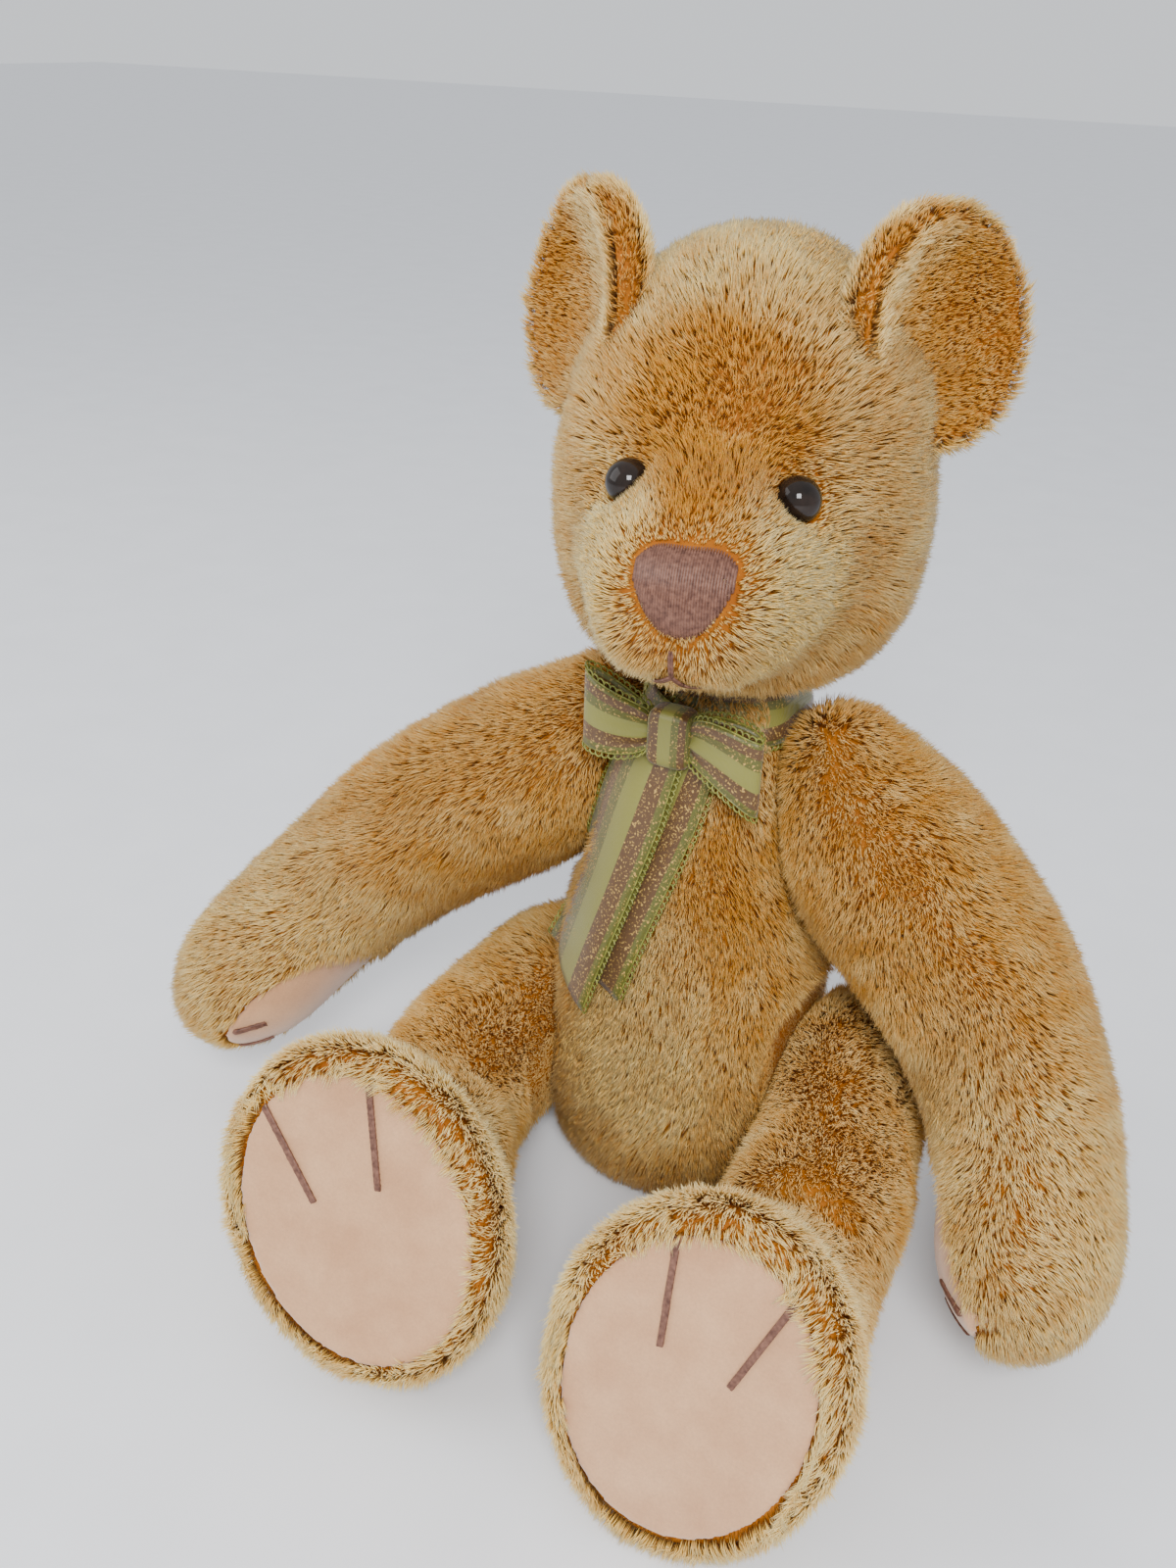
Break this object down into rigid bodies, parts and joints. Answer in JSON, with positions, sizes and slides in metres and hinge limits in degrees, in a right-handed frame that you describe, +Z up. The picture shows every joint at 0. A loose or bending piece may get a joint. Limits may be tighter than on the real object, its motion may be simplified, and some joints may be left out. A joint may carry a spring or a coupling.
{
  "type": "jointed teddy bear",
  "caption": "Sitting mohair teddy bear with disc-jointed head, arms and legs, suede pads, stitched nose and claws, glass eyes and a woven ribbon bow.",
  "frame": {"origin": "centre of the flat seat under the torso", "axes": "+Z up, the bear faces -Y and its left side is +X"},
  "size_m": [0.2886, 0.1968, 0.2844],
  "materials": {
    "mohair": "long pile, combed, lustrous",
    "stuffing": "packed fibre",
    "suede": "soft napped suede",
    "embroidery": "satin stitch thread",
    "eye_glass": "glossy black",
    "ribbon": "woven satin stripes with metallic thread",
    "board": "pressed hardboard",
    "steel": "plain wire and sheet"
  },
  "bodies": {
    "torso": {"hip_left_torso_disc": "board", "hip_right_torso_disc": "board", "neck_torso_disc": "board", "ribbon_collar": "ribbon", "ribbon_knot": "ribbon", "ribbon_loop_left": "ribbon", "ribbon_loop_right": "ribbon", "ribbon_tail_back": "ribbon", "ribbon_tail_front": "ribbon", "shoulder_left_torso_disc": "board", "shoulder_right_torso_disc": "board", "torso_cover": "mohair", "torso_stuffing": "stuffing", "torso_washers": "steel"},
    "head": {"ear_left": "mohair", "ear_right": "mohair", "eye_left": "eye_glass", "eye_right": "eye_glass", "eye_wires": "steel", "head_cover": "mohair", "head_stuffing": "stuffing", "mouth_stitches": "embroidery", "neck_cotter_pin": "steel", "neck_limb_disc": "board", "neck_limb_washer": "steel", "nose": "embroidery"},
    "arm_left": {"arm_left_claws": "embroidery", "arm_left_cover": "mohair", "arm_left_paw_pad": "suede", "arm_left_stuffing": "stuffing", "shoulder_left_cotter_pin": "steel", "shoulder_left_limb_disc": "board", "shoulder_left_limb_washer": "steel"},
    "arm_right": {"arm_right_claws": "embroidery", "arm_right_cover": "mohair", "arm_right_paw_pad": "suede", "arm_right_stuffing": "stuffing", "shoulder_right_cotter_pin": "steel", "shoulder_right_limb_disc": "board", "shoulder_right_limb_washer": "steel"},
    "leg_left": {"hip_left_cotter_pin": "steel", "hip_left_limb_disc": "board", "hip_left_limb_washer": "steel", "leg_left_claws": "embroidery", "leg_left_cover": "mohair", "leg_left_foot_pad": "suede", "leg_left_stuffing": "stuffing"},
    "leg_right": {"hip_right_cotter_pin": "steel", "hip_right_limb_disc": "board", "hip_right_limb_washer": "steel", "leg_right_claws": "embroidery", "leg_right_cover": "mohair", "leg_right_foot_pad": "suede", "leg_right_stuffing": "stuffing"}
  },
  "joints": [
    {"name": "neck_swivel", "type": "hinge", "parent": "torso", "child": "head", "pos_m": [0, 0.008, 0.164], "axis": [0, 0, 1], "continuous": true},
    {"name": "shoulder_left", "type": "hinge", "parent": "torso", "child": "arm_left", "pos_m": [0.0265, 0.006, 0.126], "axis": [0.9659, 0, 0.2588], "range_deg": [-75, 60]},
    {"name": "shoulder_right", "type": "hinge", "parent": "torso", "child": "arm_right", "pos_m": [-0.0265, 0.006, 0.126], "axis": [-0.9659, 0, 0.2588], "range_deg": [-60, 75]},
    {"name": "hip_left", "type": "hinge", "parent": "torso", "child": "leg_left", "pos_m": [0.034, 0.004, 0.034], "axis": [1, 0, 0], "range_deg": [-1.5, 85]},
    {"name": "hip_right", "type": "hinge", "parent": "torso", "child": "leg_right", "pos_m": [-0.034, 0.004, 0.034], "axis": [-1, 0, 0], "range_deg": [-85, 8]}
  ]
}
